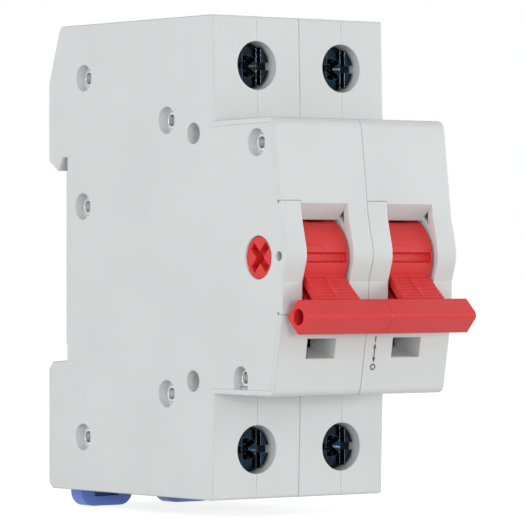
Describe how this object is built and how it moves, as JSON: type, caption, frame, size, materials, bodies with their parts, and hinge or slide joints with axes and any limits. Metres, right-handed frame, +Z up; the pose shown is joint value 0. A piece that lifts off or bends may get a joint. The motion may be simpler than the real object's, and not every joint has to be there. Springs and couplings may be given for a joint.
{
  "type": "din rail switch disconnector",
  "caption": "Modular rail-mounted switch disconnector with linked red toggles, cage terminals at both ends and pull-down rail clips.",
  "frame": {"origin": "centre of the rail seat: mid-width, on the seat plane, on the rail's centreline", "axes": "+Z up, -Y towards the user, +Y into the rail, +X to the user's right"},
  "size_m": [0.036, 0.0741, 0.0841],
  "materials": {
    "housing_plastic": "fine satin moulding",
    "toggle_plastic": "satin moulding",
    "key_plastic": "satin moulding",
    "carrier_plastic": "matt thermoset",
    "clip_plastic": "satin moulding",
    "contact_copper": "rolled copper",
    "contact_silver": "silver contact points",
    "cage_steel": "zinc-plated",
    "screw_steel": "black-passivated",
    "spring_steel": "drawn wire",
    "rivet_steel": "bright nickel"
  },
  "bodies": {
    "case": {"case_left_a": "housing_plastic", "case_right_a": "housing_plastic", "case_left_b": "housing_plastic", "case_right_b": "housing_plastic", "contact_strip_top_a": "contact_copper", "contact_strip_bottom_a": "contact_copper", "contact_strip_top_b": "contact_copper", "contact_strip_bottom_b": "contact_copper", "fixed_points_a": "contact_silver", "fixed_points_b": "contact_silver", "return_spring_a": "spring_steel", "return_spring_b": "spring_steel", "clip_spring_a": "spring_steel", "clip_spring_b": "spring_steel", "rivets": "rivet_steel"},
    "toggle": {"toggle_a": "toggle_plastic", "toggle_b": "toggle_plastic", "tie_pin": "spring_steel", "coupling_key": "key_plastic"},
    "carrier_a": {"contact_carrier_a": "carrier_plastic", "contact_bridge_a": "contact_copper", "moving_points_a": "contact_silver", "contact_spring_a": "spring_steel"},
    "carrier_b": {"contact_carrier_b": "carrier_plastic", "contact_bridge_b": "contact_copper", "moving_points_b": "contact_silver", "contact_spring_b": "spring_steel"},
    "screw_top_a": {"terminal_screw_top_a": "screw_steel"},
    "cage_top_a": {"terminal_cage_top_a": "cage_steel"},
    "screw_bottom_a": {"terminal_screw_bottom_a": "screw_steel"},
    "cage_bottom_a": {"terminal_cage_bottom_a": "cage_steel"},
    "screw_top_b": {"terminal_screw_top_b": "screw_steel"},
    "cage_top_b": {"terminal_cage_top_b": "cage_steel"},
    "screw_bottom_b": {"terminal_screw_bottom_b": "screw_steel"},
    "cage_bottom_b": {"terminal_cage_bottom_b": "cage_steel"},
    "clip_a": {"rail_clip_a": "clip_plastic"},
    "clip_b": {"rail_clip_b": "clip_plastic"}
  },
  "joints": [
    {"name": "toggle_swing", "type": "hinge", "parent": "case", "child": "toggle", "pos_m": [0, -0.0557, 0.00015], "axis": [-1, 0, 0], "range_deg": [0, 86]},
    {"name": "carrier_slide_a", "type": "slide", "parent": "case", "child": "carrier_a", "axis": [0, 1, 0], "range_m": [0, 0.00437], "deforming": ["return_spring_a"]},
    {"name": "carrier_slide_b", "type": "slide", "parent": "case", "child": "carrier_b", "axis": [0, 1, 0], "range_m": [0, 0.00437], "deforming": ["return_spring_b"]},
    {"name": "screw_turn_top_a", "type": "hinge", "parent": "case", "child": "screw_top_a", "pos_m": [-0.009, -0.042, 0.03235], "axis": [0, 1, 0], "range_deg": [0, 2160]},
    {"name": "cage_slide_top_a", "type": "slide", "parent": "case", "child": "cage_top_a", "axis": [0, -1, 0], "range_m": [0, 0.006]},
    {"name": "screw_turn_bottom_a", "type": "hinge", "parent": "case", "child": "screw_bottom_a", "pos_m": [-0.009, -0.042, -0.03205], "axis": [0, 1, 0], "range_deg": [0, 2160]},
    {"name": "cage_slide_bottom_a", "type": "slide", "parent": "case", "child": "cage_bottom_a", "axis": [0, -1, 0], "range_m": [0, 0.006]},
    {"name": "screw_turn_top_b", "type": "hinge", "parent": "case", "child": "screw_top_b", "pos_m": [0.009, -0.042, 0.03235], "axis": [0, 1, 0], "range_deg": [0, 2160]},
    {"name": "cage_slide_top_b", "type": "slide", "parent": "case", "child": "cage_top_b", "axis": [0, -1, 0], "range_m": [0, 0.006]},
    {"name": "screw_turn_bottom_b", "type": "hinge", "parent": "case", "child": "screw_bottom_b", "pos_m": [0.009, -0.042, -0.03205], "axis": [0, 1, 0], "range_deg": [0, 2160]},
    {"name": "cage_slide_bottom_b", "type": "slide", "parent": "case", "child": "cage_bottom_b", "axis": [0, -1, 0], "range_m": [0, 0.006]},
    {"name": "clip_slide_a", "type": "slide", "parent": "case", "child": "clip_a", "axis": [0, 0, -1], "range_m": [0, 0.003], "stiffness_N_per_m": 400, "springref_m": -0.002, "deforming": ["clip_spring_a"]},
    {"name": "clip_slide_b", "type": "slide", "parent": "case", "child": "clip_b", "axis": [0, 0, -1], "range_m": [0, 0.003], "stiffness_N_per_m": 400, "springref_m": -0.002, "deforming": ["clip_spring_b"]}
  ],
  "couplings": [
    {"joint": "carrier_slide_a", "follows": "toggle_swing", "m_per_rad": 0.0029079},
    {"joint": "carrier_slide_b", "follows": "toggle_swing", "m_per_rad": 0.0029079},
    {"joint": "screw_turn_top_a", "follows": "cage_slide_top_a", "rad_per_m": 6283.2},
    {"joint": "screw_turn_bottom_a", "follows": "cage_slide_bottom_a", "rad_per_m": 6283.2},
    {"joint": "screw_turn_top_b", "follows": "cage_slide_top_b", "rad_per_m": 6283.2},
    {"joint": "screw_turn_bottom_b", "follows": "cage_slide_bottom_b", "rad_per_m": 6283.2}
  ]
}
